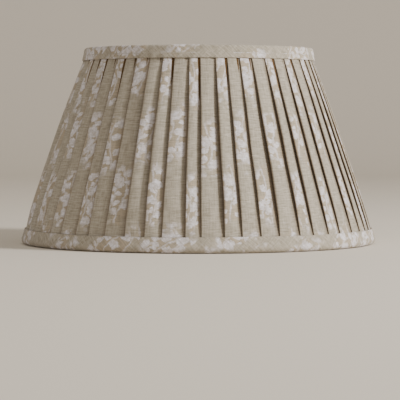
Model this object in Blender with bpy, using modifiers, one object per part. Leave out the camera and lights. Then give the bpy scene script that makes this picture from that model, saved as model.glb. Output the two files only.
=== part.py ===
"""Knife-pleated empire lamp shade on a wire frame, with a reversible gimbal fitter.

Units are metres and +Z is up. The origin is the centre of the plane that the shade stands on.
Every turned layer is set by its distance inside the wall line, the sloping line that the outer
face of the two trims follows, so the layers stay nested when an overall size changes.
"""

import math

import bmesh
import bpy
from mathutils import Matrix, Vector

# Overall sizes, over the cloth trims
BASE_DIAMETER = 0.350
TOP_DIAMETER = 0.230
HEIGHT = 0.1915

# Wire frame
RING_WIRE = 0.0032  # diameter of the wire of both rings
STRUT_WIRE = 0.0025
STRUT_COUNT = 6

# Cloth
TOP_TRIM_HEIGHT = 0.0125
BOTTOM_TRIM_HEIGHT = 0.0145
HEM_HEIGHT = 0.0095  # how far each trim turns in behind its ring
TOP_ROLL = 0.003  # radius of the trim's rounded edge
BOTTOM_ROLL = 0.0042
TRIM_THICKNESS = 0.0008
TAPE_THICKNESS = 0.00045
LINING_THICKNESS = 0.0005
COVER_THICKNESS = 0.0008
PLEATS_PER_STRIP = 19
STRIP_COUNT = 3
PLEAT_DEPTH_AT_TRIM = 0.0008  # how far a fold stands out where the trim flattens it
PLEAT_DEPTH_AT_MIDDLE = 0.0039

# Fitter
FITTER_BORE = 0.042  # diameter of the hole in the fitter ring
FITTER_RIM = 0.0075  # width of the flat ring round that hole
FITTER_THICKNESS = 0.0015
REDUCER_BORE = 0.029
REDUCER_LIP = 0.00325  # how far the reducer's flange reaches over the fitter ring
REDUCER_WALL = 0.0014
STRAP_WIDTH = 0.010
STRAP_THICKNESS = 0.0015
STRAP_END_RADIUS = 0.0045
ARM_DROP = 0.0195  # from the top of the shade down to the middle of the arms
PIVOT_DROP = 0.0265  # from the top of the shade down to the pivots
GIMBAL_DEPTH = 0.033  # from the pivots down to the top of the fitter ring
LEG_SPACE = 0.006  # from the fitter ring's edge out to the middle of a gimbal leg
WELD_TAB = 0.008  # upright end of an arm, welded along a strut
FOOT_LAP = 0.0033  # how far a gimbal leg's foot reaches over the fitter ring
RIVET_DIAMETER = 0.0038
RIVET_HEAD = 0.0074
RIVET_HEAD_HEIGHT = 0.0011

# Fits and facets
TOUCH = 0.0003  # gap between pieces that touch
CLOTH_GAP = 0.0006  # gap between cloth layers with unlike facets
RING_STEPS = 48
SMALL_STEPS = 32

WIRE_WHITE = ("coated wire", (0.72, 0.71, 0.68), 0.38, 0.0)
LINEN = ("printed linen", (0.42, 0.37, 0.31), 0.95, 0.0)
TRIM_LINEN = ("bias-cut printed linen", (0.44, 0.39, 0.33), 0.95, 0.0)
COTTON = ("lining cotton", (0.78, 0.75, 0.68), 0.9, 0.0)
TAPE = ("cotton binding tape", (0.76, 0.73, 0.66), 0.92, 0.0)
PLATED = ("zinc-plated steel", (0.62, 0.61, 0.58), 0.34, 1.0)
PLASTIC = ("moulded white plastic", (0.82, 0.81, 0.78), 0.3, 0.0)

for old in list(bpy.data.objects):
    bpy.data.objects.remove(old, do_unlink=True)

shade = bpy.data.collections.new("pleated_lamp_shade")
cutters = bpy.data.collections.new("cutters")
bpy.context.scene.collection.children.link(shade)
bpy.context.scene.collection.children.link(cutters)

# The wall line: outer radius of the cloth at each height
TOP_SEAM = HEIGHT - TOP_TRIM_HEIGHT
NOMINAL_SLOPE = (BASE_DIAMETER - TOP_DIAMETER) / 2 / (TOP_SEAM - BOTTOM_ROLL)
ACROSS = math.hypot(1, NOMINAL_SLOPE)  # horizontal distance for each unit square to the wall
WALL_AT_ROLL = BASE_DIAMETER / 2 + BOTTOM_ROLL * (ACROSS - 1)
SLOPE = (WALL_AT_ROLL - TOP_DIAMETER / 2) / (TOP_SEAM - BOTTOM_ROLL)

# How far inside the wall line each layer lies, square to it
FOLD_INSIDE = TRIM_THICKNESS + CLOTH_GAP
COVER_INSIDE = FOLD_INSIDE + PLEAT_DEPTH_AT_TRIM + COVER_THICKNESS
LINING_INSIDE = COVER_INSIDE + CLOTH_GAP
TAPE_SEGMENTS = 5
TAPE_SLIT = (STRUT_WIRE / 2 + TOUCH) / (RING_WIRE / 2 + TOUCH)
TAPE_OPENING = 2 * math.asin(TAPE_SLIT)  # the slit that the struts pass through, as an angle
TAPE_ARC = 2 * math.pi - TAPE_OPENING
TAPE_BORE = (RING_WIRE / 2 + TOUCH) / math.cos(TAPE_ARC / TAPE_SEGMENTS / 2)
TAPE_RADIUS = TAPE_BORE + TAPE_THICKNESS / math.cos(TAPE_ARC / TAPE_SEGMENTS / 2)
RING_INSIDE = LINING_INSIDE + LINING_THICKNESS + TOUCH + TAPE_RADIUS
HEM_INSIDE = RING_INSIDE + TAPE_RADIUS + TOUCH + TRIM_THICKNESS

BOTTOM_RING_Z = TRIM_THICKNESS + TOUCH + TAPE_RADIUS
TOP_RING_Z = HEIGHT - BOTTOM_RING_Z
CLOTH_BOTTOM = BOTTOM_ROLL + TRIM_THICKNESS  # the lining and the cover end above the trim's roll
CLOTH_TOP = HEIGHT - TRIM_THICKNESS - CLOTH_GAP

PIVOT_Z = HEIGHT - PIVOT_DROP
FITTER_TOP = PIVOT_Z - GIMBAL_DEPTH
FITTER_RADIUS = FITTER_BORE / 2 + FITTER_RIM
LEG_X = FITTER_RADIUS + LEG_SPACE  # centre plane of a gimbal leg
ARM_X = LEG_X + STRAP_THICKNESS + TOUCH


def radius_at(z, inside=0.0):
    """Radius at height z of a line parallel to the wall line and this far inside it."""
    return WALL_AT_ROLL - SLOPE * (z - BOTTOM_ROLL) - inside * ACROSS


def material(finish):
    name, colour, roughness, metallic = finish
    made = bpy.data.materials.get(name)
    if made is None:
        made = bpy.data.materials.new(name)
        made.use_nodes = True
        shader = made.node_tree.nodes["Principled BSDF"]
        shader.inputs["Base Color"].default_value = (*colour, 1.0)
        shader.inputs["Roughness"].default_value = roughness
        shader.inputs["Metallic"].default_value = metallic
    return made


def add_object(name, data, finish, collection=shade):
    made = bpy.data.objects.new(name, data)
    made.data.materials.append(material(finish))
    collection.objects.link(made)
    return made


def fillet(corners, radii, steps):
    """The open outline through corners, each inner corner rounded to its radius by an arc."""
    points = [Vector(corners[0])]
    for before, corner, after, radius in zip(corners, corners[1:], corners[2:], radii):
        corner = Vector(corner)
        back = (Vector(before) - corner).normalized()
        ahead = (Vector(after) - corner).normalized()
        half = back.angle(ahead) / 2
        centre = corner + (back + ahead).normalized() * (radius / math.sin(half))
        start = corner + back * (radius / math.tan(half)) - centre
        turn = start.angle_signed(corner + ahead * (radius / math.tan(half)) - centre)
        for step in range(steps + 1):
            spoke = start.copy()
            spoke.rotate(Matrix.Rotation(-turn * step / steps, 2))
            points.append(centre + spoke)
    points.append(Vector(corners[-1]))
    return points


def turned(name, profile, finish, steps, closed=False, wall=0.0):
    """A profile of (radius, height) points turned about Z, as a solid or as a shell with a wall."""
    mesh = bpy.data.meshes.new(name)
    count = len(profile)
    edges = [(i, i + 1) for i in range(count - 1)]
    if closed:
        edges.append((count - 1, 0))
    mesh.from_pydata([(r, 0, z) for r, z in profile], edges, [])
    made = add_object(name, mesh, finish)
    screw = made.modifiers.new("Turn", "SCREW")
    screw.axis = "Z"
    screw.steps = steps
    screw.render_steps = steps
    screw.use_merge_vertices = True
    screw.merge_threshold = 0.00001
    if wall:
        solidify = made.modifiers.new("Wall", "SOLIDIFY")
        solidify.thickness = wall
        solidify.offset = -1
        solidify.use_even_offset = True
    return made


def wire(name, start, end, diameter, finish):
    """A straight length of wire with filled ends."""
    curve = bpy.data.curves.new(name, "CURVE")
    curve.dimensions = "3D"
    curve.bevel_depth = diameter / 2
    curve.bevel_resolution = 2
    curve.use_fill_caps = True
    spline = curve.splines.new("POLY")
    spline.points.add(1)
    spline.points[0].co = (*start, 1)
    spline.points[1].co = (*end, 1)
    return add_object(name, curve, finish)


def evaluated_mesh(source, name):
    """The evaluated shape of an object as a welded mesh."""
    graph = bpy.context.evaluated_depsgraph_get()
    mesh = bpy.data.meshes.new_from_object(source.evaluated_get(graph))
    mesh.name = name
    bm = bmesh.new()
    bm.from_mesh(mesh)
    bmesh.ops.remove_doubles(bm, verts=bm.verts, dist=0.000001)
    bmesh.ops.recalc_face_normals(bm, faces=bm.faces)
    bm.to_mesh(mesh)
    bm.free()
    return mesh


def strap(name, route, finish):
    """A flat strap bent along a route in the XZ plane, centred on Y = 0."""
    half = STRAP_THICKNESS / 2
    left, right = [], []
    for i, point in enumerate(route):
        before = (point - route[i - 1]).normalized() if i else None
        after = (route[i + 1] - point).normalized() if i + 1 < len(route) else before
        before = before or after
        across_before = Vector((-before.y, before.x))
        across_after = Vector((-after.y, after.x))
        mitre = (across_before + across_after).normalized()
        reach = half / mitre.dot(across_after)
        left.append(point + mitre * reach)
        right.append(point - mitre * reach)
    curve = bpy.data.curves.new(name, "CURVE")
    curve.dimensions = "2D"
    curve.fill_mode = "BOTH"
    curve.extrude = STRAP_WIDTH / 2
    spline = curve.splines.new("POLY")
    outline = left + right[::-1]
    spline.points.add(len(outline) - 1)
    for place, point in zip(spline.points, outline):
        place.co = (point.x, point.y, 0, 1)
    spline.use_cyclic_u = True
    flat = add_object(name + "_outline", curve, finish)
    bpy.context.view_layer.update()
    mesh = evaluated_mesh(flat, name)
    bpy.data.objects.remove(flat, do_unlink=True)
    mesh.transform(Matrix.Rotation(math.radians(90), 4, "X"))
    mesh.materials.clear()
    return add_object(name, mesh, finish)


def round_end(strap_object, end_z):
    """Rounds the two corners of the strap's upright end at height end_z."""
    bm = bmesh.new()
    bm.from_mesh(strap_object.data)
    corners = [
        edge
        for edge in bm.edges
        if all(abs(v.co.z - end_z) < 0.00001 for v in edge.verts)
        and abs(edge.verts[0].co.y - edge.verts[1].co.y) < 0.00001
    ]
    bmesh.ops.bevel(bm, geom=corners, offset=STRAP_END_RADIUS, segments=5, profile=0.5, affect="EDGES")
    bm.to_mesh(strap_object.data)
    bm.free()


def cross_hole(target, x, z, diameter):
    """Drills a hole along X through the target."""
    mesh = bpy.data.meshes.new(target.name + "_drill")
    bm = bmesh.new()
    bmesh.ops.create_cone(
        bm,
        cap_ends=True,
        segments=20,
        radius1=diameter / 2,
        radius2=diameter / 2,
        depth=STRAP_THICKNESS * 4,
        matrix=Matrix.Translation((x, 0, z)) @ Matrix.Rotation(math.radians(90), 4, "Y"),
    )
    bm.to_mesh(mesh)
    bm.free()
    cutter = bpy.data.objects.new(mesh.name, mesh)
    cutters.objects.link(cutter)
    cutter.hide_render = True
    cutter.display_type = "WIRE"
    cut = target.modifiers.new("Hole", "BOOLEAN")
    cut.operation = "DIFFERENCE"
    cut.solver = "EXACT"
    cut.object = cutter


def make_rings():
    for name, z in (("top_ring", TOP_RING_Z), ("bottom_ring", BOTTOM_RING_Z)):
        bpy.ops.mesh.primitive_torus_add(
            major_segments=RING_STEPS,
            minor_segments=6,
            major_radius=radius_at(z, RING_INSIDE),
            minor_radius=RING_WIRE / 2,
            location=(0, 0, z),
        )
        ring = bpy.context.object
        ring.name = name
        ring.data.name = name
        ring.data.shade_smooth()
        ring.data.materials.append(material(WIRE_WHITE))
        for holder in list(ring.users_collection):
            holder.objects.unlink(ring)
        shade.objects.link(ring)


def make_struts():
    """Straight ribs between the rings, each butted against both ring wires."""
    top = Vector((radius_at(TOP_RING_Z, RING_INSIDE), TOP_RING_Z))
    bottom = Vector((radius_at(BOTTOM_RING_Z, RING_INSIDE), BOTTOM_RING_Z))
    along = (bottom - top).normalized()
    top += along * (RING_WIRE / 2 + TOUCH)
    bottom -= along * (RING_WIRE / 2 + TOUCH)
    for number in range(STRUT_COUNT):
        angle = 2 * math.pi * number / STRUT_COUNT
        turn = Matrix.Rotation(angle, 3, "Z")
        start = turn @ Vector((top.x, 0, top.y))
        end = turn @ Vector((bottom.x, 0, bottom.y))
        wire(f"strut_{number + 1}", start, end, STRUT_WIRE, WIRE_WHITE)


def make_tapes():
    """Cotton tape round each ring wire, open only towards the struts."""
    down = math.atan2(-1, SLOPE)  # direction of a strut, from the top ring
    for name, z, slit in (
        ("top_ring_tape", TOP_RING_Z, down),
        ("bottom_ring_tape", BOTTOM_RING_Z, down + math.pi),
    ):
        centre = radius_at(z, RING_INSIDE)
        profile = []
        for step in range(TAPE_SEGMENTS + 1):
            angle = slit - TAPE_OPENING / 2 - TAPE_ARC * step / TAPE_SEGMENTS
            profile.append(
                (centre + TAPE_RADIUS * math.cos(angle), z + TAPE_RADIUS * math.sin(angle))
            )
        turned(name, profile, TAPE, RING_STEPS, wall=TAPE_THICKNESS)


def make_lining():
    profile = [(radius_at(z, LINING_INSIDE), z) for z in (CLOTH_TOP, CLOTH_BOTTOM)]
    turned("lining", profile, COTTON, RING_STEPS, wall=LINING_THICKNESS)


def fold_depth(z):
    """How far a fold stands out of the cloth at height z, most at the middle of the wall."""
    share = (z - BOTTOM_TRIM_HEIGHT) / (TOP_SEAM - BOTTOM_TRIM_HEIGHT)
    swell = math.sin(math.pi * min(max(share, 0.0), 1.0))
    return PLEAT_DEPTH_AT_TRIM + (PLEAT_DEPTH_AT_MIDDLE - PLEAT_DEPTH_AT_TRIM) * swell


def make_cover():
    """Pleated strips, each lofted through saw-toothed sections that end inside the trims."""
    visible = TOP_SEAM - BOTTOM_TRIM_HEIGHT  # height of the cover that shows
    levels = [CLOTH_BOTTOM, BOTTOM_TRIM_HEIGHT]
    levels += [BOTTOM_TRIM_HEIGHT + visible * share for share in (0.25, 0.5, 0.75)]
    levels += [TOP_SEAM, CLOTH_TOP]
    pleat = 2 * math.pi / (PLEATS_PER_STRIP * STRIP_COUNT)
    seam_gap = CLOTH_GAP / radius_at(TOP_SEAM)
    for strip in range(STRIP_COUNT):
        first = pleat * PLEATS_PER_STRIP * strip
        bm = bmesh.new()
        loops = []
        for z in levels:
            inner = radius_at(z, COVER_INSIDE)
            low = radius_at(z, COVER_INSIDE - COVER_THICKNESS)
            high = low + fold_depth(z)
            section = []
            for number in range(PLEATS_PER_STRIP):
                start = first + pleat * number + (0 if number else seam_gap)
                section += [(start, high), (first + pleat * (number + 1), low)]
            for number in range(PLEATS_PER_STRIP, -1, -1):
                section.append((first + pleat * number + (0 if number else seam_gap), inner))
            loops.append(
                [bm.verts.new((r * math.cos(a), r * math.sin(a), z)) for a, r in section]
            )
        for below, above in zip(loops, loops[1:]):
            for i in range(len(below)):
                j = (i + 1) % len(below)
                bm.faces.new((below[i], below[j], above[j], above[i]))
        bm.faces.new(loops[0][::-1])
        bm.faces.new(loops[-1])
        bmesh.ops.recalc_face_normals(bm, faces=bm.faces)
        mesh = bpy.data.meshes.new(f"cover_strip_{strip + 1}")
        bm.to_mesh(mesh)
        bm.free()
        add_object(mesh.name, mesh, LINEN)


def make_trims():
    """Bias-cut bands folded over both edges, with a hem turned in behind each ring."""
    hem_end = HEIGHT - HEM_HEIGHT
    upright = TOP_DIAMETER / 2
    top = fillet(
        [
            (radius_at(hem_end, HEM_INSIDE), hem_end),
            (radius_at(HEIGHT, HEM_INSIDE), HEIGHT),
            (upright, HEIGHT),
            (upright, TOP_SEAM),
        ],
        [TOP_ROLL, TOP_ROLL],
        3,
    )
    turned("top_trim", top, TRIM_LINEN, RING_STEPS, wall=TRIM_THICKNESS)
    bottom = fillet(
        [
            (radius_at(BOTTOM_TRIM_HEIGHT), BOTTOM_TRIM_HEIGHT),
            (radius_at(0), 0),
            (radius_at(0, HEM_INSIDE), 0),
            (radius_at(HEM_HEIGHT, HEM_INSIDE), HEM_HEIGHT),
        ],
        [BOTTOM_ROLL, TOP_ROLL],
        3,
    )
    turned("bottom_trim", bottom, TRIM_LINEN, RING_STEPS, wall=TRIM_THICKNESS)


def mirrored_copy(source, name):
    """A copy of a piece on the other side of the YZ plane, facing outwards again."""
    bpy.context.view_layer.update()
    mesh = evaluated_mesh(source, name)
    mesh.transform(Matrix.Scale(-1, 4, (1, 0, 0)))
    mesh.flip_normals()
    made = bpy.data.objects.new(name, mesh)
    shade.objects.link(made)
    return made


def make_arms():
    """Fixed straps from two struts in to the pivots."""
    arm_z = HEIGHT - ARM_DROP
    stand_off = RING_INSIDE + STRUT_WIRE / 2 + TOUCH + STRAP_THICKNESS / 2
    weld_end = arm_z - WELD_TAB
    route = [
        Vector((radius_at(weld_end, stand_off), weld_end)),
        Vector((radius_at(arm_z, stand_off), arm_z)),
        Vector((ARM_X, arm_z)),
        Vector((ARM_X, PIVOT_Z - STRAP_WIDTH / 2)),
    ]
    right = strap("fitter_arm_right", route, PLATED)
    round_end(right, PIVOT_Z - STRAP_WIDTH / 2)
    cross_hole(right, ARM_X, PIVOT_Z, RIVET_DIAMETER + 2 * TOUCH)
    mirrored_copy(right, "fitter_arm_left")


def make_legs():
    """Gimbal straps that hang from the pivots and lap onto the fitter ring."""
    foot_z = FITTER_TOP + TOUCH + STRAP_THICKNESS / 2
    route = [
        Vector((FITTER_RADIUS - FOOT_LAP, foot_z)),
        Vector((LEG_X, foot_z)),
        Vector((LEG_X, PIVOT_Z + STRAP_WIDTH / 2)),
    ]
    right = strap("gimbal_leg_right", route, PLATED)
    round_end(right, PIVOT_Z + STRAP_WIDTH / 2)
    cross_hole(right, LEG_X, PIVOT_Z, RIVET_DIAMETER + 2 * TOUCH)
    mirrored_copy(right, "gimbal_leg_left")


def make_rivets():
    """Headed rivets along X, each through an arm and a leg, with a gap round the shank."""
    shank = RIVET_DIAMETER / 2
    head = RIVET_HEAD / 2
    dome = RIVET_HEAD_HEIGHT
    outer = ARM_X + STRAP_THICKNESS / 2 + TOUCH
    inner = LEG_X - STRAP_THICKNESS / 2 - TOUCH
    profile = [
        (0, outer + dome),
        (head * 0.62, outer + dome * 0.8),
        (head, outer + dome * 0.3),
        (head, outer),
        (shank, outer),
        (shank, inner),
        (head, inner),
        (head, inner - dome * 0.3),
        (head * 0.62, inner - dome * 0.8),
        (0, inner - dome),
    ]
    right = turned("pivot_rivet_right", profile, PLATED, 16)
    right.rotation_euler = (0, math.radians(90), 0)
    right.location = (0, 0, PIVOT_Z)
    left = turned("pivot_rivet_left", profile, PLATED, 16)
    left.rotation_euler = (0, math.radians(-90), 0)
    left.location = (0, 0, PIVOT_Z)


def make_fitter():
    """The flat ring that the lampholder is clamped in, and the reducer that drops into it."""
    outer = FITTER_RADIUS
    bore = FITTER_BORE / 2
    flange = bore + REDUCER_LIP
    low = FITTER_TOP - FITTER_THICKNESS
    ring = [(outer, FITTER_TOP), (outer, low), (bore, low), (bore, FITTER_TOP)]
    turned("fitter_ring", ring, PLATED, SMALL_STEPS, closed=True)
    flange_low = FITTER_TOP + TOUCH
    flange_top = flange_low + REDUCER_WALL
    skirt = bore - TOUCH
    reducer = [
        (flange, flange_top),
        (flange, flange_low),
        (skirt, flange_low),
        (skirt, low + TOUCH),
        (skirt - REDUCER_WALL, low + TOUCH),
        (skirt - REDUCER_WALL, flange_low),
        (REDUCER_BORE / 2, flange_low),
        (REDUCER_BORE / 2, flange_top),
    ]
    turned("reducer_ring", reducer, PLASTIC, SMALL_STEPS, closed=True)


make_rings()
make_struts()
make_tapes()
make_lining()
make_cover()
make_trims()
make_arms()
make_legs()
make_rivets()
make_fitter()

for thing in shade.objects:
    if thing.type == "MESH":
        thing.data.shade_smooth()
        thing.data.set_sharp_from_angle(angle=math.radians(35))
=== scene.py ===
# Pleated linen lamp shade, dressed over its wire frame and gimbal fitter.
import math

import bmesh
import bpy
from mathutils import Matrix, Vector, noise


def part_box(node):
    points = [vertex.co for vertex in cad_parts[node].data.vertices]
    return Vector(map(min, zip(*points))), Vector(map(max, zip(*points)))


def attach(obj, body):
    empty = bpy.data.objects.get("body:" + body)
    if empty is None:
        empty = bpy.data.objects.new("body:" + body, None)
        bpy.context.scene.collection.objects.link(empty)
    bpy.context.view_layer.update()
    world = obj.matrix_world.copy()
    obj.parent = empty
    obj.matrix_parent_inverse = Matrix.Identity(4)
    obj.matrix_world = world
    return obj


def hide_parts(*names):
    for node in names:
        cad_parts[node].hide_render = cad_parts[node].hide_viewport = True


print("loading the frame")
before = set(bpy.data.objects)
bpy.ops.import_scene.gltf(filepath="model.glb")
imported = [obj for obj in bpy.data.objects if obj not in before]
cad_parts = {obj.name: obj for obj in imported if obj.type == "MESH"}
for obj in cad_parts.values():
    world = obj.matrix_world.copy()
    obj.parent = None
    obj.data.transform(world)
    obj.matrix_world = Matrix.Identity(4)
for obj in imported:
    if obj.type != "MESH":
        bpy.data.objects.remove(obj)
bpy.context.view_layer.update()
scene = bpy.context.scene

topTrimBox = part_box("top_trim")
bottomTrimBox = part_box("bottom_trim")
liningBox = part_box("lining")
ringBoxes = [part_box(name) for name in ("bottom_ring", "top_ring")]
shadeTop = topTrimBox[1].z

# the wall is a cone: each cloth layer is set by its distance square to the lining's outer face
ringHeights = [(low.z + high.z) / 2 for low, high in ringBoxes]
ringWire = ringBoxes[0][1].z - ringBoxes[0][0].z
slope = (ringBoxes[0][1].x - ringBoxes[1][1].x) / (ringHeights[1] - ringHeights[0])
acrossWall = math.hypot(1, slope)


def wallRadius(z, out=0.0):
    return liningBox[1].x - slope * (z - liningBox[0].z) + out * acrossWall


# small helpers

def srgb(code):
    channels = [int(code[i:i + 2], 16) / 255 for i in (1, 3, 5)]
    linear = [c / 12.92 if c <= 0.04045 else ((c + 0.055) / 1.055) ** 2.4 for c in channels]
    return (*linear, 1.0)


def nodeAdder(tree):
    # gives a function that adds one node, sets and links it, and hands back its first live output
    def add(kind, inputs=(), operation=None, output=None, **settings):
        node = tree.nodes.new(kind if "Node" in kind else "ShaderNode" + kind)
        if operation:
            node.operation = operation
        for name, value in settings.items():
            setattr(node, name, value)
        for name, value in inputs.items() if isinstance(inputs, dict) else enumerate(inputs):
            socket = node.inputs[name] if isinstance(name, int) else next(
                s for s in node.inputs if s.name == name and s.enabled)
            if isinstance(value, bpy.types.NodeSocket):
                tree.links.new(value, socket)
            else:
                socket.default_value = value
        live = [s for s in node.outputs if s.enabled and output in (None, s.name)]
        return live[0] if live else node
    return add


def newMaterial(name):
    made = bpy.data.materials.new(name)
    made.use_nodes = True
    made.node_tree.nodes.clear()
    return made, nodeAdder(made.node_tree)


def newGroup(name, sizes):
    # a Geometry Nodes group with named inputs; gives its tree, its node adder and its inputs
    tree = bpy.data.node_groups.new(name, "GeometryNodeTree")
    for title, kind in {"Geometry": "Geometry", **sizes, "Material": "Material"}.items():
        tree.interface.new_socket(title, in_out="INPUT", socket_type="NodeSocket" + kind)
    tree.interface.new_socket("Geometry", in_out="OUTPUT", socket_type="NodeSocketGeometry")
    return tree, nodeAdder(tree), tree.nodes.new("NodeGroupInput").outputs


def closeGroup(tree, add, geometry, material):
    # real meshes that carry their own material come out
    geometry = add("GeometryNodeRealizeInstances", {"Geometry": geometry})
    geometry = add("GeometryNodeSetMaterial", {"Geometry": geometry, "Material": material})
    tree.links.new(geometry, tree.nodes.new("NodeGroupOutput").inputs[0])
    return tree


def meshObject(name, mesh):
    made = bpy.data.objects.new(name, mesh)
    scene.collection.objects.link(made)
    return made


def finished(source, name):
    # the evaluated shape as a plain mesh object, with no modifier left on it
    bpy.context.view_layer.update()
    graph = bpy.context.evaluated_depsgraph_get()
    mesh = bpy.data.meshes.new_from_object(source.evaluated_get(graph), depsgraph=graph)
    bpy.data.objects.remove(source, do_unlink=True)
    mesh.name = name
    return meshObject(name, mesh)


def dress(piece, body, slot, material, *nodes):
    piece.data.materials.clear()
    piece.data.materials.append(material)
    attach(piece, body)
    if nodes:
        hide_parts(*nodes)


def gridMesh(name, rows, columns, place, flat=None, ringed=True, looped=False):
    # a sheet of quads: place(i, j) for each point, flat(i, j) its spot on the flat cloth in metres
    rowPoints = rows if looped else rows + 1
    columnPoints = columns if ringed else columns + 1
    points = [place(i, j) for i in range(rowPoints) for j in range(columnPoints)]
    quads, spots = [], []
    for i in range(rows):
        for j in range(columns):
            corners = ((i, j), (i, j + 1), (i + 1, j + 1), (i + 1, j))
            quads.append([(a % rowPoints) * columnPoints + b % columnPoints for a, b in corners])
            if flat:
                for corner in corners:
                    spots.extend(flat(*corner))
    mesh = bpy.data.meshes.new(name)
    mesh.from_pydata(points, [], quads)
    if flat:
        mesh.uv_layers.new(name="cloth").data.foreach_set("uv", spots)
    mesh.shade_smooth()
    return mesh


def roundedLine(corners, radii, steps):
    # an open outline whose inner corners are arcs
    points = [Vector(corners[0])]
    for before, corner, after, radius in zip(corners, corners[1:], corners[2:], radii):
        corner = Vector(corner)
        back, ahead = (Vector(before) - corner).normalized(), (Vector(after) - corner).normalized()
        half = back.angle(ahead) / 2
        centre = corner + (back + ahead).normalized() * (radius / math.sin(half))
        start = corner + back * (radius / math.tan(half)) - centre
        turn = start.angle_signed(corner + ahead * (radius / math.tan(half)) - centre)
        for step in range(steps + 1):
            spoke = start.copy()
            spoke.rotate(Matrix.Rotation(-turn * step / steps, 2))
            points.append(centre + spoke)
    return points + [Vector(corners[-1])]


def spaced(outline, gap):
    # the outline with extra points, so that no step along it is longer than gap
    points = [outline[0]]
    for start, end in zip(outline, outline[1:]):
        count = max(1, math.ceil((end - start).length / gap))
        points += [start.lerp(end, step / count) for step in range(1, count + 1)]
    return points


def lathe(name, profile, steps, looped=False):
    # a profile of (radius, height) turned about Z; it runs up on the outside
    def place(i, j):
        angle = 2 * math.pi * j / steps
        radius, height = profile[i]
        return (radius * math.cos(angle), radius * math.sin(angle), height)
    mesh = gridMesh(name, len(profile) - (0 if looped else 1), steps, place, looped=looped)
    bm = bmesh.new()
    bm.from_mesh(mesh)
    bmesh.ops.remove_doubles(bm, verts=bm.verts, dist=0.0000005)  # closes the poles
    bm.to_mesh(mesh)
    bm.free()
    return mesh


def loopProfile(corners, radius, steps):
    # a closed (radius, height) outline, anticlockwise, with every corner rounded
    ring = corners[-1:] + corners + corners[:1]
    return roundedLine(ring, [radius] * len(corners), steps)[1:-1]


def withModifier(mesh, name, kind, **settings):
    source = meshObject(name, mesh)
    added = source.modifiers.new(kind.title(), kind)
    for key, value in settings.items():
        setattr(added, key, value)
    return finished(source, name)


# linen with a white block print

linenLook = {
    "ground": "#b9b0a1",
    "groundDark": "#8f8777",
    "blockWear": 1.4,  # how ragged the edges of the leaves are
    "underPrint": "#b09a7e",  # a thin tan wash round the leaves
    "underPrintCover": 0.55,
    "ink": "#ebe9f2",
    "inkCover": (0.34, 1.0),  # thinnest and thickest print
    # painted shade: the warm brown that the folds and the panel ends beside them are darkened toward, and how
    # strongly
    "foldColour": "#513710",
    "foldDarkening": 0.95,
    "repeatAcross": 0.034,  # one column of sprigs; its neighbours stand half a repeat higher
    "repeatUp": 0.112,
    "columnStart": 0.2,  # share of a column by which the sprigs stand off the fold
    "sprigHalfHeight": 0.026,
    "sprigHalfWidth": 0.018,
    "trailSpacing": 0.0185,  # between the stems of a sprig
    "trailSway": 0.0030,
    "trailWave": 0.058,  # length of one bend of a stem
    "leafPitch": 0.0138,  # between leaves on one side of a stem
    "leafReach": 0.0050,  # from the stem to the middle of a leaf
    "leafLength": 0.0060,  # half length
    "leafWidth": 0.0040,  # half width
    "leavesLeftOut": 0.26,  # share of the leaves that the block missed
    "leafLean": (0.15, 1.25),  # radians off the stem
    "leafScales": (0.7, 1.3),
    "smallLeaves": 0.62,  # a second, smaller trail fills the gaps of the first
    "trailStarts": (0.15, 0.62),  # shares of the spacing
    "stemEdges": (0.0012, 0.0004),  # half width at its faint edge and at its solid core
    "stemCover": 0.7,
    "dropChance": 0.16,  # unevenness of the half drop
    "raggedScale": 95.0,  # noise cells in a metre, here and below
    "raggedness": 1.5,
    "shakeScale": 190.0,
    "shake": 0.0046,  # how far the printed lines wander
    "wearScale": 420.0,
    "patchScale": 260.0,
    "slubScales": (110.0, 70.0),  # along the weft and the warp
    "threadPitch": 0.0013,  # real linen has 0.6 mm; coarser so that it shows
}


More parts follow.
